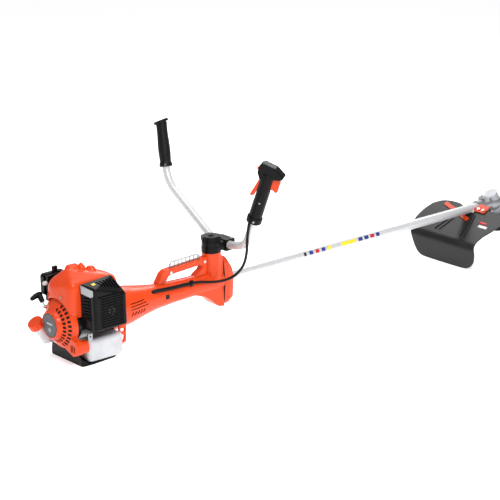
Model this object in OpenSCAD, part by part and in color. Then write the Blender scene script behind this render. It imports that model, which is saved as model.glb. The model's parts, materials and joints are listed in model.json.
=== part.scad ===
// Petrol string trimmer with a swivelling U-handle.
// Machine frame: X forward along the boom and crank axis, Y to the operator's
// left, Z up, origin at the centre of the starter badge. lay() then tips the
// whole machine so that it lies on its tank guard and on the shield's skirt.

/* [Boom] */
// Outer diameter of the main tube
tube_d = 28; // [27:0.5:29]
// Wall thickness of the main tube
tube_wall = 1.5; // [1:0.25:2]
// Diameter of the drive shaft inside the tube
shaft_d = 8; // [7:0.5:8.5]

/* [Engine] */
// Cylinder bore
bore_d = 35; // [33:0.5:36]
// Piston stroke
stroke = 30; // [28:1:30]
// Radius of the flywheel and its fan
flywheel_r = 45; // [42:1:47]
// Radius of the dark badge on the starter
badge_r = 33; // [30:1:33]
// Outer radius of the starter housing
starter_r = 70; // [69:1:71]

/* [Handlebar] */
// Diameter of the handlebar tube
bar_d = 23; // [20:1:23]
// Radius of the left grip
grip_r = 15.5; // [14.5:0.5:17]
// Radius of the clamp knob over its lobes
knob_r = 30; // [28:1:31]

/* [Cutting end] */
// Angle between the boom and the cutting plane
cut_angle = 30; // [28:1:32]
// Teeth on the bevel pinion
pinion_teeth = 14; // [13:1:15]
// Teeth on the output bevel gear
gear_teeth = 19; // [18:1:20]
// Radius of the trimmer head
head_r = 54; // [50:1:56]
// Length of each free end of line, from the head's axis
line_reach = 150; // [120:5:160]

/* [Hidden] */

orange = [0.93, 0.22, 0.07];
black = [0.07, 0.07, 0.075];
steel = [0.72, 0.73, 0.75];
alloy = [0.62, 0.63, 0.65];
fit = 0.05;                 // radial clearance of a running fit
skin = 3;                   // wall of the plastic mouldings

// Stance: the guard's foot and the skirt's lower edge both touch the floor.
foot_x = 115;
foot_z = -111;
skirt_x = 1470;
skirt_z = -151;
lay_tilt = atan2(foot_z - skirt_z, skirt_x - foot_x);
function floor_z(x) = foot_z - (x - foot_x) * tan(lay_tilt);
module lay() rotate([0, -lay_tilt, 0]) translate([-foot_x, 0, -foot_z]) children();

tube_r = tube_d / 2;
tube_start = 190;
tube_end = 1650;
shaft_r = shaft_d / 2;
bore_r = bore_d / 2;
bore_x = 96;                // cylinder axis
throw = stroke / 2;
bar_r = bar_d / 2;

// Neck of the fuel tank, leaning back from the tank to its cap
neck_base = [34, 64, -64];
neck_lean = -34;
neck_len = 66;

// Recoil rope: it leaves the starter housing up and to the left
rope_from = [30, 58, 25];
rope_lean = -45;

// Handlebar
tower_x = 550;
tower_top = 86;
tower_r = 27.5;
bar_at = [593, 0, 103];
left_bend = [572, 222, 241];
left_top = [592, 268, 392];
right_bend = [588, -106, 114];
right_grip_at = [595.7, -137, 197];
left_grip_at = [577.6, 234.8, 283];
left_lean = [-16.8, 7.54, 0];
right_lean = [20.41, 5.3, 0];
grip_twist = -55;

// Bevel gears: the pinion lies behind the apex, the output gear above it
apex_x = 1700;
gear_module = 1.5;
face = 7;
shaft_angle = 90 - cut_angle;
pinion_cone = atan(sin(shaft_angle) / (gear_teeth / pinion_teeth + cos(shaft_angle)));
gear_cone = shaft_angle - pinion_cone;
cone_len = gear_module * pinion_teeth / 2 / sin(pinion_cone);
plate_x = 1600;             // where the shield's plate meets the boom's axis

// Throttle cable, from the grip to where it enters the shaft housing
cable_r = 4;
cable_route = [[578.8, -135.6, 192.3], [576, -132, 162], [576, -129, 135], [579, -122, 105],
    [581, -110, 74], [581, -92, 48], [572, -76, 28], [557, -60, 16], [536, -46, 11],
    [510, -37, 13], [482, -31, 18], [455, -28, 20], [425, -28, 21], [395, -29, 22],
    [365, -30, 24], [335, -32, 27]];

function lerp(a, b, t) = a + (b - a) * t;
function bend(a, b, c, n) = [for (i = [0:n]) let (t = i / n)
    lerp(lerp(a, b, t), lerp(b, c, t), t)];
function towards(a, b, d) = a + (b - a) * d / norm(b - a);
function catmull(p, i, t) = let (a = p[max(i - 1, 0)], b = p[i], c = p[i + 1],
    d = p[min(i + 2, len(p) - 1)])
    0.5 * (2 * b + (c - a) * t + (2 * a - 5 * b + 4 * c - d) * t * t
        + (3 * b - a - 3 * c + d) * t * t * t);

// ---- helpers ------------------------------------------------------------
module box(x, y, z) translate([x[0], y[0], z[0]]) cube([x[1] - x[0], y[1] - y[0], z[1] - z[0]]);
module xcyl(x0, x1, r) translate([x0, 0, 0]) rotate([0, 90, 0]) cylinder(h = x1 - x0, r = r, $fn = 72);
module ycyl(at, y0, y1, r) translate([at[0], y1, at[1]]) rotate([90, 0, 0])
    cylinder(h = y1 - y0, r = r, $fn = 48);
module xring(x0, x1, ro, ri) difference() {
    xcyl(x0, x1, ro);
    xcyl(x0 - 1, x1 + 1, ri);
}
// Solid of revolution about X from [x, r] points
module xturn(p) rotate([0, 90, 0]) rotate_extrude($fn = 96) polygon([for (q = p) [q[1], q[0]]]);
// Prisms: an outline in XZ along Y, and an outline in YZ along X
module yprism(p, y0, y1) translate([0, y1, 0]) rotate([90, 0, 0]) linear_extrude(y1 - y0) polygon(p);
module xprism(p, x0, x1) translate([x0, 0, 0]) rotate([90, 0, 90]) linear_extrude(x1 - x0) polygon(p);
// Round bar of radius r swept along the points of a line
module sweep(line, r, sides) {
    n = len(line);
    verts = [for (i = [0:n - 1]) let (e = line[min(i + 1, n - 1)] - line[max(i - 1, 0)],
        d = e / norm(e), u = cross(d, [1, 0.3, 0]), v = u / norm(u), w = cross(d, v))
        for (k = [0:sides - 1]) let (a = 360 * k / sides)
        line[i] + r * (cos(a) * v + sin(a) * w)];
    skin_faces = [for (i = [0:n - 2], k = [0:sides - 1])
        let (a = i * sides + k, b = i * sides + (k + 1) % sides) [a, b, b + sides, a + sides]];
    polyhedron(verts, concat(skin_faces, [[for (k = [sides - 1:-1:0]) k],
        [for (k = [0:sides - 1]) (n - 1) * sides + k]]), convexity = 8);
}
// Box with the four edges along Y rounded
module round_slab(x, y, z, r) {
    box([x[0] + r, x[1] - r], y, z);
    box(x, y, [z[0] + r, z[1] - r]);
    for (i = [x[0] + r, x[1] - r], k = [z[0] + r, z[1] - r]) ycyl([i, k], y[0], y[1], r);
}
// Hull of spheres [x, y, z, r], each shrunk by inset
module pebble(balls, inset = 0) hull() for (b = balls)
    translate([b[0], b[1], b[2]]) sphere(r = b[3] - inset, $fn = 32);
module round_box(x, y, z, r) pebble([for (i = x, j = y, k = z)
    [i + (i == x[0] ? r : -r), j + (j == y[0] ? r : -r), k + (k == z[0] ? r : -r), r]]);

// Frame of the cutting head: Z down its axis from the apex of the gears
module out_frame(x = apex_x) translate([x, 0, 0]) rotate([0, 180 - cut_angle, 0]) children();
module throttle_frame() translate(right_grip_at) rotate(right_lean) rotate(grip_twist) children();
module neck_frame() translate(neck_base) rotate([0, neck_lean, 0]) children();
module rope_frame() translate(rope_from) rotate([rope_lean, 0, 0]) children();

// Screws across the carry handle, as [x, z]
screw_spots = [[397, 60], [516, 66]];

// ---- engine ---------------------------------------------------------------
module crankcase() color(alloy) lay() difference() {
    union() {
        xcyl(66, 126, 36);
        box([66, 126], [-30, 30], [0, 33]);
        difference() {
            xring(46.5, 66, 56, 53);
            box([40, 70], [-60, 60], [20, 60]);
        }
        difference() {
            xring(63, 66, 55, 35);
            box([40, 70], [-60, 60], [33, 60]);
        }
    }
    xcyl(77, 115, 29);
    xcyl(65, 127, 16);
    translate([bore_x, 0, 0]) cylinder(h = 34, r = bore_r + 0.6, $fn = 64);
    box([65.9, 130], [-60, 60], [33, 60]);
}

module cylinder_barrel() translate([bore_x, 0, 0]) difference() {
    union() {
        box([-28, 28], [-28, 28], [33, 37]);
        translate([0, 0, 33]) cylinder(h = 61, r = bore_r + 5, $fn = 64);
        for (z = [42:6:90]) translate([0, 0, z]) cylinder(h = 2, r = 29.5, $fn = 64);
        box([-13, 13], [-44.5, -15], [48, 70]);
        box([-13, 13], [15, 38], [54, 78]);
    }
    translate([0, 0, 30]) cylinder(h = 48, r = bore_r, $fn = 64);
    translate([0, 0, 78]) cylinder(h = 5, r1 = bore_r, r2 = 8, $fn = 64);
    translate([0, 0, 80]) cylinder(h = 20, r = 5, $fn = 48);
    ycyl([0, 59], -50, -10, 8);
    ycyl([0, 66], 10, 50, 7);
}
module cylinder_node() color(alloy) lay() cylinder_barrel();

module piston() color(steel) lay() translate([bore_x, 0, 0]) difference() {
    translate([0, 0, 54]) cylinder(h = 23, r = bore_r - fit, $fn = 64);
    translate([0, 0, 53]) cylinder(h = 20, r = bore_r - 3, $fn = 64);
    ycyl([0, 65], -bore_r, bore_r, 4);
}

// Rod with its wrist pin and the crank pin in its big end
module connecting_rod() color(steel) lay() translate([bore_x, 0, 0]) {
    ycyl([0, 65], -bore_r + 1, bore_r - 1, 4 - fit);
    translate([-4, 0, 0]) difference() {
        union() {
            box([-1, 9], [-4, 4], [throw + 6, 60]);
            translate([-1, 0, throw]) rotate([0, 90, 0]) cylinder(h = 10, r = 8.5, $fn = 48);
            ycyl([4, 65], -5, 5, 6.5);
        }
        translate([-2, 0, throw]) rotate([0, 90, 0]) cylinder(h = 12, r = 5, $fn = 48);
        ycyl([4, 65], -6, 6, 4);
    }
    translate([-8.2, 0, throw]) rotate([0, 90, 0]) cylinder(h = 16.4, r = 5 - fit / 2, $fn = 48);
}

module crankshaft() color(steel) lay() {
    xcyl(47, 87, 6);
    xcyl(105, 142, 6);
    for (x = [80, 105]) xcyl(x, x + 7, throw + 8.5);
}

module ball_bearing(x0, x1, ro, ri) {
    xring(x0, x1, ri + 2, ri);
    xring(x0, x1, ro, ro - 2);
    xring(x0 + 1, x1 - 1, ro - 2, ri + 2);
}
module crank_bearings() color(steel) lay() for (x = [67, 115])
    ball_bearing(x, x + 10, 16, 6 + fit);

module flywheel() color(alloy) lay() difference() {
    union() {
        xcyl(56, 62, flywheel_r);
        xcyl(48, 62, 14);
        xring(39.5, 57, 20, 16);
        xcyl(46.5, 57, 18);
        for (a = [0:30:330]) rotate([a, 0, 0])
            box([48.5, 57], [24, flywheel_r - 1], [-1.2, 1.2]);
    }
    xcyl(46, 63, 6);
}

module clutch_shoes() color([0.35, 0.3, 0.27]) lay() difference() {
    union() {
        xring(130.5, 134, 20, 6);
        difference() {
            xring(134, 144, 33.8, 14);
            box([133, 145], [-40, 40], [-4, 4]);
        }
    }
    xcyl(129, 145, 6);
}

module clutch_drum() color(steel) lay() difference() {
    union() {
        xring(134, 150, 37.5, 35);
        xcyl(147, 150, 37.5);
        xcyl(150, 177, 9);
        xcyl(150, 187, 6);
    }
    xcyl(140, 190, shaft_r);
}

module clutch_case() color(alloy) lay() xturn([[126, 46], [129, 46], [129, 44], [172, 44],
    [190, 20], [232, 20], [232, tube_r], [190, tube_r], [190, 8], [186, 8], [186, 14],
    [175, 14], [175, 30], [169, 41], [126, 41]]);

// Ball bearings of the drum, the pinion and the output shaft
module drive_bearings() color(steel) lay() {
    ball_bearing(178, 186, 14, 6 + fit);
    ball_bearing(1668, 1676, 14, 6 + fit);
    out_frame() rotate([0, -90, 0]) ball_bearing(18, 26, 14, 6 + fit);
    out_frame() rotate([0, -90, 0]) ball_bearing(-35, -27, 13, 5 + fit);
}

cover_balls = [[56, 24, 88, 34], [47, -47, 109, 15], [68, 0, 121, 24], [120, 0, 112, 22],
    [138, 38, 88, 30], [172, -46, 104, 14], [46, 38, 40, 20], [36, -50, 30, 14],
    [148, 48, 44, 20], [158, -52, 36, 12], [181, -49, 76, 13], [176, 40, 72, 14],
    [162, -14, 109, 14]];
module engine_cover() color(orange) lay() difference() {
    union() {
        pebble(cover_balls);
        translate([104, -8, 136]) cylinder(h = 19, r1 = 12, r2 = 4, $fn = 32);
        translate([132, -16, 124]) cylinder(h = 18, r1 = 15, r2 = 10, $fn = 32);
        translate([84, 6, 138]) cylinder(h = 13, r1 = 20, r2 = 12, $fn = 32);
    }
    pebble(cover_balls, skin);
    box([0, 200], [-90, 90], [0, 24]);
    xcyl(-5, 47, starter_r + 0.4);
    box([64, 200], [-90, -60], [0, 117]);
    ycyl([bore_x, 66], 48, 80, 14);
    box([70, 166], [-62, -40], [8, 94]);
    xcyl(47, 178, 57);
    housing_outer(0.8);
}

// Vents of the starter: arcs of small windows around the boss
module starter_vents() for (ring = [[46, 9, 14], [58, 8, 12]])
    for (i = [0:ring[1]]) rotate([150 + i * ring[2], 0, 0])
        box([4, 36], [ring[0] - 3, ring[0] + 3], [-2.6, 2.6]);
lobe = [[-40, -20], [-78, -34], [-85, -44], [-87, -60], [-81, -72], [-68, -76], [-30, -62]];
lobe_inner = [[-42, -25], [-76, -38], [-82, -46], [-84, -60], [-79, -69], [-68, -73], [-33, -60]];
module starter_housing() color(orange) lay() difference() {
    union() {
        xturn([[0, badge_r + 0.2], [0, 36], [3, 39], [12, 42], [30, 66], [34, starter_r],
            [46, starter_r], [46, starter_r - skin], [35, starter_r - skin], [31, 63],
            [14, 39], [6, 36], [4.6, 34], [4.6, 5], [38, 5], [38, 0], [1.6, 0],
            [1.6, badge_r + 0.2]]);
        difference() {
            union() {
                xprism(lobe, 24, 46);
                intersection() {
                    xprism(lobe, 45, 66);
                    box([45, 66], [-95, -62], [-70, -38]);
                }
            }
            xprism(lobe_inner, 27, 47);
            intersection() {
                xprism(lobe_inner, 46, 63);
                box([46, 63], [-95, -65], [-67, -41]);
            }
            xcyl(20, 50, starter_r - skin);
            xcyl(47, 80, 57);
        }
    }
    starter_vents();
    for (y = [-66, -75]) box([20, 30], [y - 2, y + 2], [-66, -44]);
    neck_frame() translate([0, 0, -8]) cylinder(h = 90, r = 18, $fn = 48);
    box([14, 47], [44, 90], [-84, -40]);
    rope_frame() box([-3.5, 3.5], [-3.5, 3.5], [-30, 30]);
}

module starter_badge() color([0.25, 0.25, 0.27]) lay() xcyl(0, 1.5, badge_r);

module starter_reel() color(black) lay() xturn([[22.5, 5 + fit], [22.5, 31], [25, 31],
    [25, 20], [35, 20], [35, 31], [37, 31], [37, 5 + fit]]);

// Flat spiral of spring strip between the housing and the reel
function spiral(r0, r1, turns, n) = [for (i = [0:n]) let (t = i / n, a = 360 * turns * t)
    lerp(r0, r1, t) * [cos(a), sin(a)]];
module recoil_spring() color(steel) lay() {
    inner = spiral(7, 26, 5, 90);
    outer = spiral(7.8, 26.8, 5, 90);
    xprism(concat(inner, [for (i = [90:-1:0]) outer[i]]), 15, 21);
}

module starter_handle() color(black) lay() rope_frame() difference() {
    union() {
        translate([0, 0, 22]) cylinder(h = 22, r1 = 7, r2 = 8, $fn = 32);
        hull() {
            translate([-24, 0, 40]) sphere(r = 6.5, $fn = 24);
            translate([0, 0, 46]) sphere(r = 8, $fn = 24);
            translate([4, 0, 46]) sphere(r = 6.5, $fn = 24);
        }
    }
    translate([0, 0, 20]) cylinder(h = 14, r = 2, $fn = 32);
}
module starter_rope() color([0.9, 0.9, 0.88]) lay() rope_frame() {
    translate([0, 0, -58]) cylinder(h = 91, r = 1.9, $fn = 24);
}

module muffler() color(steel) lay() difference() {
    union() {
        round_slab([80, 156], [-99, -44.5], [14, 84], 9);
        translate([152, -84, 71]) rotate([0, 70, 0]) cylinder(h = 10, r = 7, $fn = 32);
    }
    round_slab([82, 154], [-97, -46.5], [16, 82], 7);
    ycyl([bore_x, 59], -50, -40, 8);
    translate([146, -84, 69]) rotate([0, 70, 0]) cylinder(h = 24, r = 5, $fn = 32);
}

guard_balls = [[64, -65.5, 112, 4], [79, -104, 104, 5], [156, -65.5, 118, 4],
    [171, -104, 76, 5], [64, -65.5, -4, 4], [79, -104, -6, 5], [171, -65.5, -4, 4],
    [171, -104, -5, 5]];
module muffler_cover() color(black) lay() difference() {
    pebble(guard_balls);
    pebble(guard_balls, skin - 0.4);
    box([50, 190], [-64.2, -55], [-30, 130]);
    for (i = [0:6]) translate([90 + i * 12, -88, 100]) rotate([0, 0, 16])
        box([-2.5, 2.5], [-11, 11], [-40, 40]);
    for (z = [62, 71]) box([92, 162], [-120, -100], [z, z + 4]);
    for (i = [0:5]) box([92, 162], [-120, -100], [2 + i * 9, 5 + i * 9]);
    for (z = [8, 24, 40]) box([58, 80], [-96, -74], [z, z + 5]);
}

module air_cleaner_case() color(black) lay() difference() {
    box([46, 114], [68.5, 82], [40, 110]);
    box([49, 111], [72, 83], [54, 107]);
    ycyl([bore_x, 66], 66, 76, 11.3);
    translate([0, 75.2, 90]) xcyl(45, 53, 6.3);
    translate([90, 76, 98]) cylinder(h = 14, r = 2.5, $fn = 32);
}
module air_cleaner_cover() color(black) lay() difference() {
    union() {
        round_slab([42, 114], [82.2, 98], [52, 112], 9);
        ycyl([78, 82], 98, 102, 11);
    }
    round_slab([45, 111], [80, 95], [55, 109], 7);
}
module air_filter() color([0.25, 0.25, 0.22]) lay() box([51, 109], [76, 94], [58, 99]);

module carburetor() color(alloy) lay() difference() {
    union() {
        box([80, 112], [42, 56], [52, 80]);
        box([84, 108], [38, 42], [54, 78]);
        ycyl([bore_x, 66], 56, 72, 11);
        translate([88, 49, 80]) cylinder(h = 8, r = 6, $fn = 32);
    }
    ycyl([bore_x, 66], 30, 80, 7);
}
module choke_lever() color(black) lay() translate([90, 76, 0]) {
    translate([0, 0, 101]) cylinder(h = 13, r = 2.5 - fit, $fn = 32);
    translate([0, 0, 112.4]) cylinder(h = 4, r = 6, $fn = 32);
    box([-18, 0], [-3, 3], [112.4, 116.4]);
    box([-22, -8], [-4, 4], [113, 131]);
}
module primer_bulb() color([0.85, 0.85, 0.8]) lay() translate([0, 75.2, 90]) {
    xcyl(40, 46.5, 6);
    intersection() {
        translate([40, 0, 0]) sphere(r = 6, $fn = 32);
        box([30, 40], [-8, 8], [-8, 8]);
    }
}

module spark_plug() color(steel) lay() translate([bore_x, 0, 0]) {
    translate([0, 0, 80]) cylinder(h = 14, r = 5 - fit / 2, $fn = 48);
    translate([0, 0, 94]) cylinder(h = 6, r = 9, $fn = 6);
    translate([0, 0, 100]) cylinder(h = 18, r = 4.5, $fn = 32);
}
module plug_cap() color(black) lay() difference() {
    union() {
        translate([bore_x, 0, 102]) cylinder(h = 27, r = 8.5, $fn = 32);
        box([51, bore_x], [-3.5, 3.5], [117, 124]);
        box([51, 58], [-3.4, 3.4], [66.8, 123]);
    }
    translate([bore_x, 0, 101]) cylinder(h = 18, r = 4.55, $fn = 32);
}
module ignition_coil() color(black) lay() {
    box([48, 60], [-13, 13], [52, 66.5]);
    for (y = [-13, 7]) box([51, 59], [y, y + 6], [46.5, 52]);
}

tank_round = 14;
tank_balls = [for (x = [68 + tank_round, 183 - tank_round], y = [-80 + tank_round, 80 - tank_round],
    z = [-105 + tank_round, -40 - tank_round]) [x, y, z, tank_round]];
module fuel_tank() color([0.93, 0.93, 0.94]) lay() difference() {
    union() {
        difference() {
            pebble(tank_balls);
            xcyl(40, 200, 61.5);
        }
        difference() {
            round_box([20, 92], [47, 80], [-71.5, -42], 10);
            xcyl(47, 120, 58);
        }
        neck_frame() cylinder(h = neck_len, r = 16, $fn = 48);
    }
    difference() {
        pebble(tank_balls, 2.5);
        xcyl(40, 200, 64);
    }
    box([24, 78], [54, 76], [-68, -60]);
    neck_frame() translate([0, 0, 2]) cylinder(h = neck_len, r = 13, $fn = 48);
}
module fuel_cap() color(orange) lay() neck_frame() translate([0, 0, neck_len - 12]) difference() {
    union() {
        cylinder(h = 18, r = 20.5, $fn = 64);
        for (a = [0:30:330]) rotate(a) translate([20.5, 0, 0]) cylinder(h = 16, r = 1.8, $fn = 16);
    }
    translate([0, 0, -1]) cylinder(h = 15, r = 16.4, $fn = 64);
}

module tank_guard() color(black) {
    translate([-foot_x, 0, 0]) linear_extrude(4.3) polygon([[46.5, -71], [51, -76.5], [80, -76.5],
        [160, -64], [176, -50], [176, 50], [160, 62], [80, 70.5], [51, 70.5], [46.5, 65]]);
    lay() {
        xprism([[-75, -107], [69, -107], [65, -74], [40, -78], [-56, -78], [-75, -90]], 47, 50);
        for (y = [-75.5, 67]) yprism([[48, -107], [70, -107], [70, -105.6], [62, -98], [48, -90]],
            y, y + 2.5);
    }
}

// ---- boom and shaft housing --------------------------------------------
housing_profile = [[176, 60], [205, 58], [250, 53], [300, 42.5], [342, 35.5], [400, 31.5],
    [475, 29], [574, 29]];
housing_end = 574;
keel = [[468, -20], [505, -33], [530, -50], [543, -64], [556, -73], [housing_end, -76],
    [housing_end, 72], [568, 76], [540, 60], [520, 0]];
module housing_outer(grow = 0) xturn(concat([for (p = housing_profile) [p[0], p[1] + grow]],
    [[574, 0], [176, 0]]));
module housing_legs() for (y = [-52, 46]) difference() {
    yprism([[187.5, -28], [212, -22], [208, -82], [194, -88], [187.5, -58]], y, y + 6);
    yprism([[192, -42], [206, -44], [205, -54], [192, -52]], y - 1, y + 7);
    yprism([[193, -60], [205, -62], [203, -76], [196, -78]], y - 1, y + 7);
}
module shaft_housing() color(orange) lay() difference() {
    union() {
        difference() {
            union() {
                housing_outer();
                yprism(keel, -22, 22);
                translate([tower_x, 0, 0]) cylinder(h = tower_top, r = tower_r, $fn = 72);
                housing_legs();
            }
            xturn(concat([for (p = housing_profile) [p[0] + (p[0] == 176 ? -1 : 0)
                + (p[0] == 574 ? 1 : 0), p[1] - skin]], [[575, 0], [175, 0]]));
            yprism([[528, -44], [546, -60], [558, -69], [575, -72], [575, -20], [520, -20]],
                -19, 19);
        }
        xring(208, 220, 56, 33);
        xring(550, 566, 27, 22);
    }
    translate([tower_x, 0, 38]) cylinder(h = 60, r = 5 + fit, $fn = 48);
    for (i = [0:4]) translate([234 + i * 11, 0, -12]) rotate([0, 30, 0])
        box([-2.5, 2.5], [-70, 70], [-6, 6]);
    for (z = [0, 8, 16]) box([228, 296 - z], [-70, -20], [z, z + 3]);
    box([361, 375], [-45, -31], [-5, 8]);
    box([housing_end, 590], [-40, 40], [-90, 74]);
}

module cap_section(x, top, low, half) translate([x, 0, 0]) rotate([90, 0, 90])
    linear_extrude(1) {
        translate([0, top - half]) circle(r = half, $fn = 32);
        translate([0, low + half]) circle(r = half, $fn = 32);
        circle(r = half + 4, $fn = 32);
    }
module front_cap() color(orange) lay() difference() {
    hull() {
        cap_section(574.4, 73, -76, 23);
        cap_section(592, 64, -77, 22);
        cap_section(611, 36, -66, 17);
    }
    xcyl(570, 640, tube_r);
    hull() {
        cap_section(573, 69, -72, 20);
        cap_section(590, 60, -73, 19);
        cap_section(606, 30, -60, 14);
    }
}

module carry_handle() color(orange) lay() difference() {
    yprism([[348, 16], [350, 32], [369, 61], [380, 68], [394, 70], [514, 76], [530, 79],
        [530, 20]], -12, 12);
    yprism([[376, 16], [377, 33], [390, 51], [399, 54], [503, 59], [510, 52], [504, 43],
        [489, 34], [466, 16]], -13, 13);
    housing_outer(0.1);
    translate([tower_x, 0, 0]) cylinder(h = 100, r = tower_r + 0.1, $fn = 72);
    box([399, 509], [-1.6, 1.6], [65, 100]);
    for (s = screw_spots) ycyl(s, -14, 14, 2.5);
}

rail_slots = 7;
module harness_rail() color(steel) lay() difference() {
    yprism([[400, 66], [400, 79], [411, 88], [497, 91], [508, 85], [508, 66]], -1.5, 1.5);
    for (i = [0:rail_slots - 1]) box([407 + i * 13.6, 417 + i * 13.6], [-3, 3],
        [73 + i * 0.7, 84.5 + i * 0.4]);
}

module screws() color(steel) lay() {
    for (s = screw_spots) {
        ycyl(s, -12, 12, 2.45);
        for (y = [[-14.5, -12], [12, 14.5]]) ycyl(s, y[0], y[1], 4.2);
    }
    for (y = [-10, 10]) translate([1651, y, 26]) cylinder(h = 3, r = 4, $fn = 24);
    out_frame(plate_x) for (y = [-50, -30]) translate([2, y, -7]) cylinder(h = 3, r = 4.5, $fn = 24);
}

module vibration_mounts() color(black) lay() {
    xring(206, 222, 33, 20);
    xring(550, 566, 22, tube_r);
}

module main_tube() color([0.85, 0.85, 0.86]) lay()
    xring(tube_start, tube_end, tube_r, tube_r - tube_wall);
module drive_shaft() color(steel) lay() xcyl(150.5, 1682, shaft_r - fit / 2);
module shaft_bushings() color(black) lay() for (x = [300:220:1620])
    xring(x, x + 20, tube_r - tube_wall, shaft_r + fit);

// ---- handlebar ------------------------------------------------------------
module clamp_base() color(black) lay() difference() {
    union() {
        translate([tower_x, 0, tower_top + 0.3]) cylinder(h = bar_at[2] - tower_top - 0.3,
            r = 28, $fn = 64);
        box([tower_x + 30, 612], [-30, 30], [86, bar_at[2]]);
        box([tower_x, 600], [-25, 25], [91, bar_at[2]]);
    }
    ycyl([bar_at[0], bar_at[2]], -40, 40, bar_r);
    translate([tower_x, 0, 80]) cylinder(h = 60, r = 5 + fit, $fn = 48);
}
module clamp_cap() color(black) lay() difference() {
    union() {
        translate([tower_x, 0, bar_at[2]]) cylinder(h = 118.8 - bar_at[2], r = 27, $fn = 64);
        box([tower_x, 600], [-24, 24], [bar_at[2], 115]);
        box([tower_x + 30, 612], [-30, 30], [bar_at[2], 118.8]);
    }
    ycyl([bar_at[0], bar_at[2]], -40, 40, bar_r);
    translate([tower_x, 0, 80]) cylinder(h = 60, r = 5 + fit, $fn = 48);
    translate([tower_x, 0, 118.8]) cylinder(h = 20, r = knob_r + 0.6, $fn = 64);
}
module clamp_knob() color(black) lay() translate([tower_x, 0, 0]) {
    translate([0, 0, 119.2]) cylinder(h = 14, r = knob_r - 5, $fn = 64);
    for (a = [0:60:300]) rotate(a) translate([knob_r - 7, 0, 119.2])
        cylinder(h = 13, r = 7, $fn = 32);
    translate([0, 0, 48]) cylinder(h = 72, r = 5, $fn = 48);
    translate([0, 0, 133]) cylinder(h = 3, r = 8, $fn = 6);
}

bar_left = [bar_at[0], 44, bar_at[2]];
bar_path = concat(
    [left_top],
    bend(towards(left_bend, left_top, 40), left_bend, towards(left_bend, bar_left, 40), 5),
    bend(towards(bar_left, left_bend, 11), bar_left, bar_left - [0, 11, 0], 4),
    [bar_at - [0, 34, 0]],
    bend(right_bend + [1, 34, -3], right_bend, towards(right_bend, right_grip_at, 34), 6),
    [right_grip_at + (right_grip_at - right_bend)]);
module handlebar() color([0.85, 0.85, 0.86]) lay() sweep(bar_path, bar_r, 28);

module left_grip() color(black) lay() translate(left_grip_at) rotate(left_lean) difference() {
    union() {
        cylinder(h = 10, r = grip_r + 3, $fn = 48);
        cylinder(h = 130, r = grip_r, $fn = 48);
        translate([0, 0, 127]) rotate([-7, -14, 0]) cylinder(h = 7, r1 = 22.5, r2 = 21, $fn = 48);
    }
    translate([0, 0, -1]) cylinder(h = 117, r = bar_r + 0.5, $fn = 48);
}

// Throttle grip; its frame has Z up the grip and X towards the trigger
head_drop = 8;
module grip_prism(p, half) translate([0, 0, -head_drop]) yprism(p, -half, half);
module throttle_grip() color(black) lay() throttle_frame() difference() {
    union() {
        translate([0, 0, -5]) cylinder(h = 19, r = 22, $fn = 48);
        cylinder(h = 150, r = 19, $fn = 48);
        grip_prism([[-19, 138], [-30, 156], [-30, 178], [-22, 187], [16, 184], [44, 168],
            [42, 160], [36, 156], [19, 150]], 15);
    }
    translate([0, 0, -6]) cylinder(h = 96, r = bar_r + 0.6, $fn = 48);
    grip_prism([[6, 106], [60, 106], [60, 154], [6, 158]], 5.4);
    grip_prism([[-12.5, 74], [-50, 74], [-50, 128], [-24, 141], [-8, 141], [-8, 110]], 5.4);
    grip_prism([[-21, 157], [-40, 157], [-40, 176], [-21, 176]], 5);
}
trigger_pivot = [12, 149 - head_drop];
lockout_pivot = [-14, 133 - head_drop];
module throttle_trigger() color(orange) lay() throttle_frame() {
    grip_prism([[8, 144], [10, 153], [34, 152], [38, 146], [38, 117], [33, 112], [27, 117],
        [19, 117]], 4.8);
    ycyl(trigger_pivot, -5.1, 5.1, 2);
}
module throttle_lockout() color(orange) lay() throttle_frame() {
    grip_prism([[-10, 137], [-20, 137], [-33, 82], [-29, 78], [-21, 84], [-12, 126]], 4.8);
    ycyl(lockout_pivot, -5.1, 5.1, 1.5);
}
module stop_switch() color(orange) lay() throttle_frame() {
    grip_prism([[-31, 159], [-31, 170], [-22, 170], [-22, 159]], 4.6);
    grip_prism([[-30.4, 159], [-35, 162], [-35, 168], [-30.4, 170]], 4.6);
}

// Cable swept along a smooth curve through its route
cable_rings = 61;
cable_line = [for (i = [0:cable_rings - 1]) let (s = i * (len(cable_route) - 1) / (cable_rings - 1),
    k = min(floor(s), len(cable_route) - 2)) catmull(cable_route, k, s - k)];
module throttle_cable() color(black) lay() sweep(cable_line, cable_r, 10);
module cable_clip() color(black) lay() difference() {
    translate([455, -28, 20]) rotate([35, 0, 0]) difference() {
        box([-5, 5], [-7, 6], [-6.5, 6.5]);
        xcyl(-6, 6, cable_r + 0.3);
    }
    housing_outer(0.1);
}

// ---- cutting end ----------------------------------------------------------
module gear_case() color(alloy) lay() difference() {
    union() {
        xcyl(1616, 1672, 19);
        xturn([[1672, 19], [1690, 25], [1700, 25], [1700, 0], [1672, 0]]);
        box([1641, 1662], [-15, 15], [0, 26]);
        out_frame() translate([0, 0, -38]) cylinder(h = 70, r = 21, $fn = 64);
        translate([apex_x, 0, 0]) sphere(r = 24, $fn = 48);
    }
    xcyl(1600, tube_end, tube_r);
    xcyl(1640, 1668, 9);
    xcyl(1667.9, 1690, 14);
    translate([apex_x, 0, 0]) sphere(r = 18.5, $fn = 48);
    out_frame() {
        translate([0, 0, -27]) cylinder(h = 27, r = 18.4, $fn = 64);
        translate([0, 0, -35]) cylinder(h = 30, r = 13, $fn = 64);
        cylinder(h = 26, r = 14, $fn = 64);
        cylinder(h = 40, r = 9, $fn = 48);
    }
}

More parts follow.
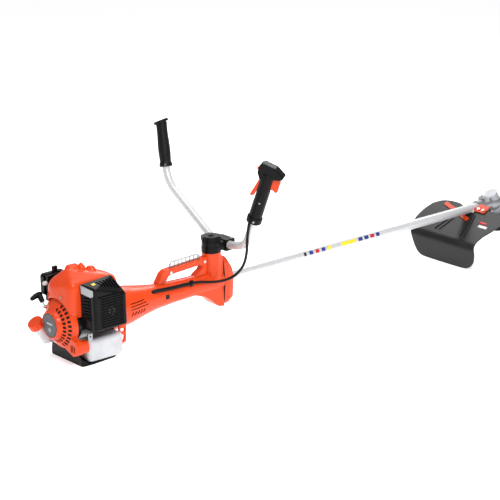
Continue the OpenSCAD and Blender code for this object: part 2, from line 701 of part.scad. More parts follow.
// Bevel gear: teeth on cones that all meet at the apex. Z runs from the apex to the gear.
module bevel_teeth(teeth, cone, phase) {
    add = atan(gear_module * 0.95 / cone_len);
    ded = atan(gear_module * 1.3 / cone_len);
    heel = cone_len * cos(cone);
    shrink = (cone_len - face) / cone_len;
    tip = heel * tan(cone + add);
    root = heel * tan(cone - ded);
    pitch = heel * tan(cone);
    step = 360 / teeth;
    outline = [for (i = [0:teeth - 1]) each [for (q = [[-0.42, root], [-0.22, pitch], [-0.09, tip],
        [0.09, tip], [0.22, pitch], [0.42, root]]) let (a = phase + (i + q[0]) * step)
        q[1] * [cos(a), sin(a)]]];
    translate([0, 0, heel]) mirror([0, 0, 1])
        linear_extrude(height = heel * (1 - shrink), scale = shrink) polygon(outline);
}
// Pinion: a tooth points straight up, towards the output gear
module bevel_pinion() color(steel) lay() difference() {
    union() {
        translate([apex_x, 0, 0]) rotate([0, -90, 0]) bevel_teeth(pinion_teeth, pinion_cone, 0);
        xcyl(1667, apex_x - cone_len * cos(pinion_cone) + 0.1, 6);
    }
    xcyl(1660, 1700, shaft_r);
}
// Output shaft with its bevel gear; a tooth gap faces the pinion
module output_shaft() color(steel) lay() out_frame() {
    heel = cone_len * cos(gear_cone);
    difference() {
        mirror([0, 0, 1]) bevel_teeth(gear_teeth, gear_cone, 180 / gear_teeth);
        translate([0, 0, -30]) cylinder(h = 40, r = 4, $fn = 48);
    }
    translate([0, 0, -heel - 5]) cylinder(h = 5, r = 12, $fn = 48);
    translate([0, 0, -34.5]) cylinder(h = 60, r = 5, $fn = 48);
    translate([0, 0, 15]) cylinder(h = 19, r = 6, $fn = 48);
    translate([0, 0, 33]) cylinder(h = 5, r = 22, $fn = 64);
    translate([0, 0, 38]) cylinder(h = 26, r = 5, $fn = 48);
}
module turn(p) rotate_extrude($fn = 96) polygon(p);
module trimmer_head() color(black) lay() out_frame() difference() {
    turn([[5 + fit, 38.2], [24, 38.2], [44, 45], [head_r, 52], [head_r, 77], [head_r - 4, 81],
        [26, 81], [26, 78.5], [head_r - 4, 78.5], [head_r - 3, 76], [head_r - 3, 54],
        [43, 48], [24, 41.5], [10, 41.5], [10, 66], [5 + fit, 66]]);
    for (s = [0, 180]) rotate(s + 90) translate([head_r - 6, -3, 57]) cube([12, 6, 13]);
}
module bump_spool() color([0.12, 0.12, 0.13]) lay() out_frame() turn([[10 + fit, 54], [43, 54],
    [43, 56], [16, 56], [16, 73.5], [43, 73.5], [43, 75.5], [24, 75.5], [24, 90], [20, 94], [0, 94],
    [0, 72], [10 + fit, 72]]);
module trimmer_line() color([0.95, 0.45, 0.1]) lay() out_frame() {
    turn([[16.2, 56.3], [36, 56.3], [36, 73.2], [16.2, 73.2]]);
    for (s = [90, 270]) rotate(s) translate([30, 0, 65]) rotate([0, 90, 0])
        cylinder(h = line_reach - 30, r = 1.3, $fn = 16);
}

// Shield: outline in the cutting frame, X running back from the boom's crossing
shield_outline = [[150, -128], [150, 140], [140, 154], [118, 165], [90, 170], [55, 168],
    [22, 157], [2, 132], [-6, 100], [-6, 58], [4, 32], [10, 17], [34, 15], [36, 0], [34, -15],
    [10, -17], [0, -34], [-6, -70], [-4, -120], [14, -148], [40, -152], [70, -140],
    [100, -124], [128, -122], [144, -132]];
skirt_outline = [[-128, -72], [-133, -98], [-131, -123], [-118, -140], [-95, -152],
    [92, -152], [113, -140], [127, -124], [139, -100], [144, -72]];
module shield() color([0.13, 0.13, 0.14]) lay() {
    out_frame(plate_x) linear_extrude(3) polygon(shield_outline);
    intersection() {
        xprism(skirt_outline, skirt_x, skirt_x + 3.5);
        yprism([[skirt_x - 1, -60], [skirt_x - 1, floor_z(skirt_x - 1)],
            [skirt_x + 4, floor_z(skirt_x + 4)], [skirt_x + 4, -60]], -180, 180);
        yprism([[1400, -160], [1400, -115.5], [1500, -57.8], [1500, -160]], -180, 180);
    }
    intersection() {
        yprism([[skirt_x + 2, -98], [skirt_x + 30, -59], [skirt_x + 26, -58],
            [skirt_x + 2, -74]], -124, 138);
        yprism([[1400, -160], [1400, -115.5], [1520, -46.2], [1520, -160]], -180, 180);
    }
}
// Bracket that clamps the shield to the boom, with the bar across the shield
module shield_bracket() color(orange) lay() difference() {
    union() {
        intersection() {
            xcyl(1594, 1640, 23);
            box([1590, 1650], [-24, 24], [-24, 4]);
        }
        out_frame(plate_x) {
            translate([-20, -60, -4]) cube([32, 42, 4]);
            translate([31, 43, -3]) rotate(-72.5) translate([-69, -7, 0]) cube([138, 14, 3]);
        }
    }
    xcyl(1500, 1620, tube_r + 0.1);
    xcyl(1615.9, 1700, 19.1);
    out_frame(plate_x) translate([-7, -200, 0]) cube([200, 400, 60]);
}

crankcase();
cylinder_node();  // cylinder
piston();
connecting_rod();
crankshaft();
crank_bearings();
flywheel();
clutch_shoes();
clutch_drum();
clutch_case();
drive_bearings();
engine_cover();
starter_housing();
starter_badge();
starter_reel();
recoil_spring();
starter_handle();
starter_rope();
muffler();
muffler_cover();
air_cleaner_case();
air_cleaner_cover();
air_filter();
carburetor();
choke_lever();
primer_bulb();
spark_plug();
plug_cap();
ignition_coil();
fuel_tank();
fuel_cap();
tank_guard();
shaft_housing();
front_cap();
carry_handle();
harness_rail();
screws();
vibration_mounts();
clamp_base();
clamp_cap();
clamp_knob();
handlebar();
left_grip();
throttle_grip();
throttle_trigger();
throttle_lockout();
stop_switch();
throttle_cable();
cable_clip();
main_tube();
drive_shaft();
shaft_bushings();
gear_case();
bevel_pinion();
output_shaft();
trimmer_head();
bump_spool();
trimmer_line();
shield();
shield_bracket();
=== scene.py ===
import bpy, bmesh, json, math
from mathutils import Matrix, Vector

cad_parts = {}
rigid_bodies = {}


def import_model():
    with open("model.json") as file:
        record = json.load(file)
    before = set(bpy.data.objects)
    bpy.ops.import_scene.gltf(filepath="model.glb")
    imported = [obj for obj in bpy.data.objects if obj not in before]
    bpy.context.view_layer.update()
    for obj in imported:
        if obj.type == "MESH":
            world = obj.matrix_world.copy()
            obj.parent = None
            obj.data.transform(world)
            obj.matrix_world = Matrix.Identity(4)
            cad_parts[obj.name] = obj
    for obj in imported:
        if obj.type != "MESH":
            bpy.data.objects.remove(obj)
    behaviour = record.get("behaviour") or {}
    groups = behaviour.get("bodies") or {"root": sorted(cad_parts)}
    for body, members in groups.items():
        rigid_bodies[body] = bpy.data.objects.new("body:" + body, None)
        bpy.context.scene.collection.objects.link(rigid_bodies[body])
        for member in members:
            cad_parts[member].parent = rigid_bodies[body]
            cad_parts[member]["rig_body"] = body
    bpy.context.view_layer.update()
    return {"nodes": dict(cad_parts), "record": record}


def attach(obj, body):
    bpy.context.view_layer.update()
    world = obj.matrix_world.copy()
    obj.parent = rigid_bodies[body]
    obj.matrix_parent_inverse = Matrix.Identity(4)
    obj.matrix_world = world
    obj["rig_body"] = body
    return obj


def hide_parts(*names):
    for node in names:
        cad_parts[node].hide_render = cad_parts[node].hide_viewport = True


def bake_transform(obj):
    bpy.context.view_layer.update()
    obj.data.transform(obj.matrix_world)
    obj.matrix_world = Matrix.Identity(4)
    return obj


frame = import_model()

NODES = frame["nodes"]

# ---- machine frame: mm, X along the boom, Y to the operator's left, Z up -------
# It stands on the tank guard's foot and on the shield's skirt, SKIRT_DROP lower and SKIRT_AHEAD in front.
FOOT = Vector((115, 0, -111))
SKIRT_DROP = 40
SKIRT_AHEAD = 1355
TILT = math.atan2(SKIRT_DROP, SKIRT_AHEAD)
MM = 0.001
LAY = Matrix.Scale(MM, 4) @ (Matrix.Rotation(-TILT, 4, "Y") @ Matrix.Translation(-FOOT))


def place(x, y, z):
    """A point given in machine mm, in the row frame's metres."""
    return LAY @ Vector((x, y, z))


def aim(x, y, z):
    """A direction given in the machine frame, as a unit vector of the row frame."""
    return (LAY.to_3x3() @ Vector((x, y, z))).normalized()


# ---- camera: its axes, and the machine origin's place along them in mm ----------------
LENS = 136.8
SENSOR = 36
FAR_CLIP = 50
RIGHT = (0.77037, -0.63726, -0.02215)
UP = (0.20813, 0.21840, 0.95345)
FWD = (0.60275, 0.73911, -0.30085)
SHIFT = (-530.526, -200.001, 5030.126)
eye = Vector([-(RIGHT[i] * SHIFT[0] + UP[i] * SHIFT[1] + FWD[i] * SHIFT[2]) for i in range(3)])
cam = bpy.data.objects.new("view_camera", bpy.data.cameras.new("view_camera"))
bpy.context.scene.collection.objects.link(cam)
rot = Matrix((aim(*RIGHT), aim(*UP), -aim(*FWD))).transposed()
cam.matrix_world = Matrix.Translation(LAY @ eye) @ rot.to_4x4()
cam.data.lens = LENS
cam.data.sensor_width = SENSOR
cam.data.clip_end = FAR_CLIP
bpy.context.scene.camera = cam


# ---- materials --------------------------------------------------------------------
ROUGH_VARY = 0.08
GLOSSIEST = 0.03
COAT_ROUGHNESS = 0.12
BUMP_DEPTH = 0.0004
SSS_DEPTH = 0.01
RAMP_LOW = 0.3
RAMP_HIGH = 0.7


def material(name, color, rough=0.4, metal=0.0, bump=0.05, bump_scale=900.0, vary=0.04,
             vary_scale=30.0, coat=0.0, sss=0.0, streak=None, spec=0.5, glow=0.0):
    """Plain finish with a slow change of colour and gloss, and a fine bump over it."""
    m = bpy.data.materials.new(name)
    m.use_nodes = True
    nt = m.node_tree
    p = nt.nodes["Principled BSDF"]
    p.inputs["Metallic"].default_value = metal
    p.inputs["Coat Weight"].default_value = coat
    p.inputs["Coat Roughness"].default_value = COAT_ROUGHNESS
    p.inputs["Specular IOR Level"].default_value = spec
    p.inputs["Emission Color"].default_value = (*color, 1)
    p.inputs["Emission Strength"].default_value = glow
    p.inputs["Subsurface Weight"].default_value = sss
    p.inputs["Subsurface Scale"].default_value = SSS_DEPTH
    tc = nt.nodes.new("ShaderNodeTexCoord")
    mp = nt.nodes.new("ShaderNodeMapping")
    nt.links.new(tc.outputs["Object"], mp.inputs["Vector"])
    if streak:
        mp.inputs["Scale"].default_value = streak
    big = nt.nodes.new("ShaderNodeTexNoise")
    big.inputs["Scale"].default_value = vary_scale
    big.inputs["Detail"].default_value = 6
    nt.links.new(mp.outputs["Vector"], big.inputs["Vector"])
    ramp = nt.nodes.new("ShaderNodeValToRGB")
    lo = [max(0.0, c * (1 - vary * 3)) for c in color]
    hi = [min(1.0, c * (1 + vary * 2)) for c in color]
    ramp.color_ramp.elements[0].position = RAMP_LOW
    ramp.color_ramp.elements[1].position = RAMP_HIGH
    ramp.color_ramp.elements[0].color = (*lo, 1)
    ramp.color_ramp.elements[1].color = (*hi, 1)
    nt.links.new(big.outputs["Fac"], ramp.inputs["Fac"])
    nt.links.new(ramp.outputs["Color"], p.inputs["Base Color"])
    rr = nt.nodes.new("ShaderNodeMapRange")
    rr.inputs["To Min"].default_value = max(GLOSSIEST, rough - ROUGH_VARY)
    rr.inputs["To Max"].default_value = rough + ROUGH_VARY
    nt.links.new(big.outputs["Fac"], rr.inputs["Value"])
    nt.links.new(rr.outputs["Result"], p.inputs["Roughness"])
    fine = nt.nodes.new("ShaderNodeTexNoise")
    fine.inputs["Scale"].default_value = bump_scale
    fine.inputs["Detail"].default_value = 3
    nt.links.new(mp.outputs["Vector"], fine.inputs["Vector"])
    b = nt.nodes.new("ShaderNodeBump")
    b.inputs["Strength"].default_value = bump
    b.inputs["Distance"].default_value = BUMP_DEPTH
    nt.links.new(fine.outputs["Fac"], b.inputs["Height"])
    nt.links.new(b.outputs["Normal"], p.inputs["Normal"])
    return m


FINISHES = {
    "orange_plastic": dict(color=(0.74, 0.06, 0.008), rough=0.3, bump=0.06, coat=0.1, vary=0.02, spec=0.25),
    "black_plastic": dict(color=(0.003, 0.003, 0.0033), rough=0.33, bump=0.1, vary=0.1, spec=0.14),
    "black_rubber": dict(color=(0.004, 0.004, 0.0045), rough=0.48, bump=0.3, bump_scale=1400, vary=0.1,
                         spec=0.2),
    "shield_plastic": dict(color=(0.0085, 0.0085, 0.0095), rough=0.4, bump=0.2, vary=0.2, vary_scale=7,
                           spec=0.35),
    "badge": dict(color=(0.036, 0.036, 0.045), rough=0.3, bump=0.04, vary=0.06),
    "tank": dict(color=(0.60, 0.62, 0.65), rough=0.35, bump=0.1, vary=0.04, sss=0.35, coat=0.1),
    "primer": dict(color=(0.6, 0.6, 0.55), rough=0.25, sss=0.3),
    "rope": dict(color=(0.42, 0.42, 0.4), rough=0.8, bump=0.8, bump_scale=1600),
    "filter_felt": dict(color=(0.03, 0.03, 0.026), rough=0.95, bump=0.9, bump_scale=700),
    "cast_alloy": dict(color=(0.34, 0.35, 0.365), rough=0.42, metal=0.8, bump=0.5, bump_scale=900),
    "tube": dict(color=(0.63, 0.635, 0.65), rough=0.32, metal=0.25, bump=0.05, coat=0.2, vary=0.03,
                 streak=(0.15, 1, 1)),
    "steel": dict(color=(0.6, 0.61, 0.63), rough=0.28, metal=1.0, bump=0.15, streak=(1, 1, 0.2)),
    "clutch_lining": dict(color=(0.14, 0.1, 0.08), rough=0.8, bump=0.6),
    "bracket": dict(color=(0.62, 0.05, 0.008), rough=0.36, bump=0.08, coat=0.1, spec=0.2),
    "line": dict(color=(0.85, 0.22, 0.02), rough=0.3, bump=0.05),
}
MAT = {slot: material(slot, **look) for slot, look in FINISHES.items()}
# Near-black: painted shade behind the guard's slots, behind the starter's windows, inside the shaft housing
# and in its pocket; also the dark seam at the front cap and a dark boom label.
SHADE_SEAM_AND_PRINT_DARK = material("painted_shade_seam_and_print_dark", (0.006, 0.006, 0.006), 0.8)
BLUE = material("label_blue", (0.02, 0.03, 0.22), 0.4, bump=0.03)
YELLOW = material("label_yellow", (0.85, 0.66, 0.03), 0.4, bump=0.03)
WHITE = material("label_white", (0.8, 0.8, 0.8), 0.4, bump=0.03)
RED = material("label_red", (0.55, 0.01, 0.02), 0.4, bump=0.03)
SILVER = material("plate_silver", (0.36, 0.37, 0.39), 0.35, metal=0.7, bump=0.1)
RAIL = material("rail_steel", (0.42, 0.44, 0.46), 0.3, metal=0.85, bump=0.1)
# Near-black alloy for the crankcase, clutch case, muffler and cylinder, darker than the cast alloy.
DARK_ALLOY = material("dark_alloy", (0.012, 0.012, 0.013), 0.42, metal=0.3, bump=0.4)
slot_of = {part["node"]: part["material_slot"] for part in frame["record"]["subparts"]}
special = {"crankcase": DARK_ALLOY, "clutch_case": DARK_ALLOY, "muffler": DARK_ALLOY, "cylinder": DARK_ALLOY,
           "harness_rail": RAIL}
for name, ob in NODES.items():
    ob.data.materials.clear()
    ob.data.materials.append(special.get(name, MAT[slot_of[name]]))


# ---- mesh helpers -------------------------------------------------------------------
def link(name, me, mat=None):
    ob = bpy.data.objects.new(name, me)
    bpy.context.scene.collection.objects.link(ob)
    if mat:
        me.materials.append(mat)
    return ob


def mesh_of(bm, name):
    """Mesh of a finished bmesh, with its faces turned outwards."""
    bmesh.ops.recalc_face_normals(bm, faces=bm.faces)
    me = bpy.data.meshes.new(name)
    bm.to_mesh(me)
    bm.free()
    return me


def bake(ob):
    """Apply an object's modifiers."""
    dg = bpy.context.evaluated_depsgraph_get()
    me = bpy.data.meshes.new_from_object(ob.evaluated_get(dg))
    ob.modifiers.clear()
    old = ob.data
    ob.data = me
    bpy.data.meshes.remove(old)
    return ob


def smooth(ob, angle):
    """Smooth shading with sharp edges kept above an angle in degrees."""
    ob.data.shade_smooth()
    ob.data.set_sharp_from_angle(angle=math.radians(angle))
    w = ob.modifiers.new("normals", "WEIGHTED_NORMAL")
    w.keep_sharp = True
    return bake(ob)


def round_edges(ob, width):
    """Bevel the sharp edges of a piece built in machine mm."""
    b = ob.modifiers.new("edges", "BEVEL")
    b.width = width
    b.segments = 3
    b.limit_method = "ANGLE"
    b.angle_limit = math.radians(35)
    b.harden_normals = False
    return bake(ob)


def finish(ob, body="machine", *nodes, slot=None, angle=35):
    """Move a piece built in machine mm into the row frame and let it ride."""
    ob.data.transform(LAY)
    smooth(ob, angle)
    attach(ob, body)
    if nodes:
        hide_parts(*nodes)
        slot = slot or slot_of[nodes[0]]
    return ob


def hull_points(points, name):
    """Convex hull of points. The points are rounded and sorted, so each run gives the same mesh."""
    bm = bmesh.new()
    for p in sorted({tuple(round(c, 5) for c in p) for p in points}):
        bm.verts.new(p)
    res = bmesh.ops.convex_hull(bm, input=bm.verts)
    spare = {g for g in res["geom_interior"] + res["geom_unused"] if isinstance(g, bmesh.types.BMVert)}
    bmesh.ops.delete(bm, geom=sorted(spare, key=lambda v: v.index), context="VERTS")
    return mesh_of(bm, name)


def sphere_points(x, y, z, r, n):
    out = []
    for i in range(n + 1):
        th = math.pi * i / n
        for j in range(2 * n):
            ph = math.pi * j / n
            out.append((x + r * math.sin(th) * math.cos(ph), y + r * math.sin(th) * math.sin(ph),
                        z + r * math.cos(th)))
    return out


def pebble(name, balls, inset=0.0, n=20):
    """Hull round balls (x, y, z, radius), each made smaller by inset."""
    pts = []
    for x, y, z, r in balls:
        pts += sphere_points(x, y, z, r - inset, n)
    return link(name, hull_points(pts, name))


def box(name, x, y, z):
    """Box between two values on each axis."""
    pts = [(a, b, c) for a in x for b in y for c in z]
    return link(name, hull_points(pts, name))


def prism(name, outline, lo, hi, axis="y"):
    """Outline [(u, v)...] extruded between lo and hi: axis y takes XZ, axis z takes XY."""
    def at(u, v, w):
        return {"y": (u, w, v), "z": (u, v, w)}[axis]
    bm = bmesh.new()
    a = [bm.verts.new(at(u, v, lo)) for u, v in outline]
    b = [bm.verts.new(at(u, v, hi)) for u, v in outline]
    bm.faces.new(a)
    bm.faces.new(b[::-1])
    n = len(outline)
    for i in range(n):
        bm.faces.new((a[i], a[(i + 1) % n], b[(i + 1) % n], b[i]))
    return link(name, mesh_of(bm, name))


def lathe(name, profile, frame_m, sides=72, closed=True):
    """Profile [(along, radius)...] turned about the frame's Z axis: a closed loop, or capped ends."""
    bm = bmesh.new()
    rings = []
    for h, r in profile:
        rings.append([bm.verts.new(frame_m @ Vector((r * math.cos(2 * math.pi * k / sides),
                                                     r * math.sin(2 * math.pi * k / sides), h)))
                      for k in range(sides)])
    last = len(rings) if closed else len(rings) - 1
    for i in range(last):
        a, b = rings[i], rings[(i + 1) % len(rings)]
        for k in range(sides):
            bm.faces.new((a[k], a[(k + 1) % sides], b[(k + 1) % sides], b[k]))
    if not closed:
        bm.faces.new(rings[0])
        bm.faces.new(rings[-1])
    return link(name, mesh_of(bm, name))


def along(a, b):
    """Frame with Z from a to b and its origin at a."""
    a, b = Vector(a), Vector(b)
    return Matrix.Translation(a) @ (b - a).to_track_quat("Z", "Y").to_matrix().to_4x4()


def rod(name, a, b, r, sides=32):
    """Plain cylinder from a to b."""
    return lathe(name, [(0, r), ((Vector(b) - Vector(a)).length, r)], along(a, b), sides, closed=False)


def curve_points(route, steps):
    """Smooth curve through the route's points, with a number of steps from each to the next."""
    pts = []
    n = len(route)
    for i in range(n - 1):
        p = [Vector(route[max(i - 1, 0)]), Vector(route[i]), Vector(route[i + 1]),
             Vector(route[min(i + 2, n - 1)])]
        for s in range(steps):
            t = s / steps
            pts.append(0.5 * (2 * p[1] + (p[2] - p[0]) * t + (2 * p[0] - 5 * p[1] + 4 * p[2] - p[3]) * t * t
                              + (3 * p[1] - p[0] - 3 * p[2] + p[3]) * t ** 3))
    pts.append(Vector(route[-1]))
    return pts


def sweep(name, pts, r, sides=24):
    """Tube along points. Its radius is a number, or a function of 0..1 along it and the angle round it."""
    bm = bmesh.new()
    rings = []
    d = (pts[1] - pts[0]).normalized()
    u = d.orthogonal().normalized()
    n = len(pts)
    for i, p in enumerate(pts):
        e = (pts[min(i + 1, n - 1)] - pts[max(i - 1, 0)]).normalized()
        u = (u - e * u.dot(e)).normalized()
        w = e.cross(u)
        ring = []
        for k in range(sides):
            a = 2 * math.pi * k / sides
            rr = r(i / (n - 1), a) if callable(r) else r
            ring.append(bm.verts.new(p + rr * (math.cos(a) * u + math.sin(a) * w)))
        rings.append(ring)
    for i in range(n - 1):
        for k in range(sides):
            bm.faces.new((rings[i][k], rings[i][(k + 1) % sides], rings[i + 1][(k + 1) % sides],
                          rings[i + 1][k]))
    bm.faces.new(rings[0])
    bm.faces.new(rings[-1])
    return link(name, mesh_of(bm, name))


def combine(op, ob, *others):
    """Boolean with each of the others, which are then removed."""
    for o in others:
        m = ob.modifiers.new("b", "BOOLEAN")
        m.operation = op
        m.solver = "EXACT"
        m.object = o
        bake(ob)
        bpy.data.objects.remove(o)
    return ob


def cut(ob, *others):
    return combine("DIFFERENCE", ob, *others)


def join(name, *obs):
    """Separate closed shells gathered into one piece."""
    bm = bmesh.new()
    for o in obs:
        bm.from_mesh(o.data)
        bpy.data.objects.remove(o)
    me = bpy.data.meshes.new(name)
    bm.to_mesh(me)
    bm.free()
    return link(name, me)


def paint(ob, mat):
    """One material on the whole piece."""
    ob.data.materials.clear()
    ob.data.materials.append(mat)
    return ob


def melt(ob, voxel, times):
    """Creases melted into soft radii: remeshed with a voxel size, then smoothed a number of times."""
    m = ob.modifiers.new("r", "REMESH")
    m.mode = "VOXEL"
    m.voxel_size = voxel
    t = ob.modifiers.new("t", "SMOOTH")
    t.factor = 0.5
    t.iterations = times
    return bake(ob)


WELD_MM = 0.002
MOULD_VOXEL = 0.0013


def copy_of(node):
    """A CAD node's mesh as a new object in machine mm."""
    ob = link("copy_" + node, NODES[node].data.copy())
    if "custom_normal" in ob.data.attributes:
        ob.data.attributes.remove(ob.data.attributes["custom_normal"])
    ob.data.transform(LAY.inverted())
    w = ob.modifiers.new("weld", "WELD")
    w.merge_threshold = WELD_MM
    return bake(ob)


def soften(node, times):
    """A moulded copy of a CAD node, in metres: its edges melt into small radii."""
    src = NODES[node]
    ob = link("moulded_" + node, src.data.copy())
    w = ob.modifiers.new("weld", "WELD")
    w.merge_threshold = 1e-6
    melt(ob, MOULD_VOXEL, times)
    ob.data.shade_smooth()
    paint(ob, MAT[slot_of[node]])
    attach(ob, src["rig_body"])
    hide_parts(node)
    return ob


# ---- floor and lights ------------------------------------------------------------------
FLOOR_LOW = -12
FLOOR_HIGH = 14
FLOOR_Z = -0.0005
corners = ((FLOOR_LOW, FLOOR_LOW), (FLOOR_HIGH, FLOOR_LOW), (FLOOR_HIGH, FLOOR_HIGH), (FLOOR_LOW, FLOOR_HIGH))
me = bpy.data.meshes.new("floor")
me.from_pydata([(x, y, FLOOR_Z) for x, y in corners], [], [(0, 1, 2, 3)])
pale = material("floor", (0.92, 0.92, 0.92), 0.8, bump=0.0, vary=0.0, glow=0.62, spec=0.1)
floor = link("floor", me, pale)
world = bpy.data.worlds.new("studio")
bpy.context.scene.world = world
world.use_nodes = True
sky = world.node_tree.nodes["Background"]
sky.inputs["Color"].default_value = (1, 1, 1, 1)
sky.inputs["Strength"].default_value = 0.4
bpy.context.scene.view_settings.view_transform = "Standard"


def lamp(name, at, target, size, power):
    """Area light, placed in metres and turned towards its target."""
    d = bpy.data.lights.new(name, "AREA")
    d.shape = "RECTANGLE"
    d.size, d.size_y = size
    d.energy = power
    o = bpy.data.objects.new(name, d)
    bpy.context.scene.collection.objects.link(o)
    o.location = at
    o.rotation_euler = (Vector(target) - Vector(at)).to_track_quat("-Z", "Y").to_euler()


lamp("key", at=(-0.5, -2.6, 2.7), target=(0.4, 0, 0.1), size=(1.4, 1.0), power=72)
lamp("rim", at=(2.6, 1.8, 2.4), target=(0.6, 0, 0.1), size=(2.2, 1.2), power=55)
lamp("top", at=(0.5, -0.2, 3.2), target=(0.5, 0, 0), size=(3.0, 2.0), power=50)


# ---- CAD nodes that stay: rounded edges and smooth shading ---------------------------------
SHARP = math.radians(38)


def dress(node, width):
    """Smooth shading, and edges rounded by a modifier: the CAD mesh keeps its shape. Width is in mm."""
    ob = NODES[node]
    if "custom_normal" in ob.data.attributes:
        ob.data.attributes.remove(ob.data.attributes["custom_normal"])
    ob.data.shade_smooth()
    w = ob.modifiers.new("weld", "WELD")
    w.merge_threshold = 2e-6
    b = ob.modifiers.new("edges", "BEVEL")
    b.width = width / 1000
    b.segments = 2
    b.limit_method = "ANGLE"
    b.angle_limit = SHARP
    b.miter_outer = "MITER_ARC"
    n = ob.modifiers.new("normals", "WEIGHTED_NORMAL")
    n.keep_sharp = True
    ob.data.set_sharp_from_angle(angle=SHARP)


MOULDED_EDGE = 0.9
CRISP_EDGE = 0.3
MOULDED = ("shaft_housing", "clamp_base", "clamp_cap", "tank_guard", "throttle_trigger", "throttle_lockout",
           "air_cleaner_case", "air_cleaner_cover", "clamp_knob", "gear_case", "choke_lever")
for name in NODES:
    dress(name, MOULDED_EDGE if name in MOULDED else CRISP_EDGE)

# ---- engine cover: balls (x, y, z, radius), with three raised lumps on top ----------------------
COVER_WALL = 3.4
COVER = [(56, 24, 88, 34), (47, -47, 109, 15), (68, 0, 121, 24), (120, 0, 112, 22),
         (138, 38, 88, 30), (172, -46, 104, 14), (46, 38, 40, 20), (36, -50, 30, 14),
         (148, 48, 44, 20), (158, -52, 36, 12), (181, -49, 76, 13), (176, 40, 72, 14),
         (162, -14, 109, 14)]
cover = melt(pebble("engine_cover_shell", COVER, n=20), 2.6, 90)
lumps = [pebble("lump", [(76, 8, 140, 11), (92, 4, 141, 11), (84, 6, 130, 20)]),
         pebble("lump", [(104, -8, 151, 4), (104, -8, 138, 12)]),
         pebble("lump", [(132, -16, 133, 9), (126, -12, 134, 8), (132, -16, 122, 15)])]
combine("UNION", cover, *lumps)
melt(cover, 1.5, 4)
cut(cover, melt(pebble("inside", COVER, COVER_WALL), 3.0, 30),
    box("underside", (0, 215), (-90, 90), (-10, 24)),
    rod("starter_room", (-5, 0, 0), (47, 0, 0), 70.4, 96),
    box("guard_side", (64, 215), (-90, -60), (0, 117)),
    box("exhaust_opening", (70, 166), (-62, -40), (8, 94)),
    rod("crankcase_room", (47, 0, 0), (178, 0, 0), 57, 72),
    rod("intake_hole", (96, 48, 66), (96, 80, 66), 14),
    rod("housing_room", (170, 0, 0), (215, 0, 0), 61, 72))
paint(cover, MAT["orange_plastic"])
finish(cover, "machine", "engine_cover", angle=32)

BOLT_AT = (24, -25, 78)
bolt = lathe("cover_bolt", [(-3, 3.2), (1.2, 3.2), (1.8, 2.6), (1.8, 1.4), (0.6, 1.2), (0.6, 0.01),
                            (-3, 0.01)],
             Matrix.Translation(BOLT_AT) @ Matrix.Rotation(-math.pi / 2, 4, "Y"), 32)
finish(paint(bolt, SILVER), slot="steel")

# ---- exhaust guard: shell with slots and vents, ribs, and a dark screen behind them as painted shade ---
GUARD_WALL = 3.0
GUARD = [(64, -65.5, 112, 4), (79, -104, 104, 5), (156, -65.5, 118, 4), (171, -104, 76, 5),
         (64, -65.5, -4, 4), (79, -104, -6, 5), (171, -65.5, -4, 4), (171, -104, -5, 5)]
guard = melt(pebble("exhaust_guard", GUARD, n=16), 1.4, 9)
cut(guard, melt(pebble("inside", GUARD, GUARD_WALL, n=8), 2.2, 4),
    box("cover_side", (50, 190), (-64.2, -50), (-30, 135)))
SLOT_HIGH = 3.4
slots = [box("slot", (92, 164), (-125, -100), (z, z + SLOT_HIGH)) for z in range(-2, 76, 7)]
slots.append(box("slot", (84, 164), (-125, -98), (82, 86)))
cut(guard, join("slots", *slots))
VENT_STEP = 10.5
VENT_TURN = 0.3
vents = []
for i in range(6):
    vent = box("vent", (-2.6, 2.6), (-12, 9), (-40, 40))
    vent.data.transform(Matrix.Translation((104 + i * VENT_STEP, -86, 100))
                        @ Matrix.Rotation(VENT_TURN, 4, "Z"))
    vents.append(vent)
cut(guard, join("vents", *vents))
cut(guard, join("rear", *[box("slot", (56, 78), (-98, -72), (z, z + 3.5)) for z in range(34, 80, 9)]))
paint(guard, MAT["black_plastic"])
finish(guard, "machine", "muffler_cover", angle=30)

# Three upright ribs on the face, level ones at the rear, and a block below those.
bars = [rod("rib", (x, -107.6, -4), (x, -107.6, 78), 1.3, 12) for x in (108, 128, 148)]
bars += [rod("rib", (63.52, -70, z), (73.5, -101, z), 1.8, 12) for z in range(31, 85, 9)]
bars.append(pebble("block", [(69, -80, 22, 9), (71, -92, 20, 9), (68, -78, 2, 7), (72, -94, 0, 7)], n=10))
finish(paint(join("guard_ribs", *bars), MAT["black_plastic"]), slot="black_plastic")
# A dark sheet behind the slots and vents: painted shade inside the guard.
painted_shade_back = round_edges(box("guard_painted_shade_screen", (66, 168), (-103.6, -102.8), (-6, 88)), 0.3)
finish(paint(painted_shade_back, SHADE_SEAM_AND_PRINT_DARK), slot="black_plastic")
OUTLET_AT = (130, -103.8, 37)
outlet = lathe("guard_outlet", [(0, 6), (0, 11), (1.4, 11), (1.4, 6)],
               Matrix.Translation(OUTLET_AT) @ Matrix.Rotation(math.pi / 2, 4, "X"), 40)
finish(paint(outlet, SILVER), slot="steel")

PLATE_THICK = 2
plate_face = ((59.2, -67, 92), (59.2, -67, 114), (72.6, -103, 82), (72.6, -103, 104))
plate = link("guard_plate", hull_points([(x + thick, y, z) for thick in (0, PLATE_THICK)
                                         for x, y, z in plate_face], "guard_plate"))
round_edges(plate, 0.5)
finish(paint(plate, SILVER), slot="steel")


def sheet_grid(x0, x1, y0, y1, z, nx, ny):
    """Rows of points spread evenly over a rectangle."""
    return [[(x0 + (x1 - x0) * i / nx, y0 + (y1 - y0) * k / ny, z) for k in range(ny + 1)]
            for i in range(nx + 1)]


LABEL_LIFT = 0.25
LABEL_THICK = 0.3


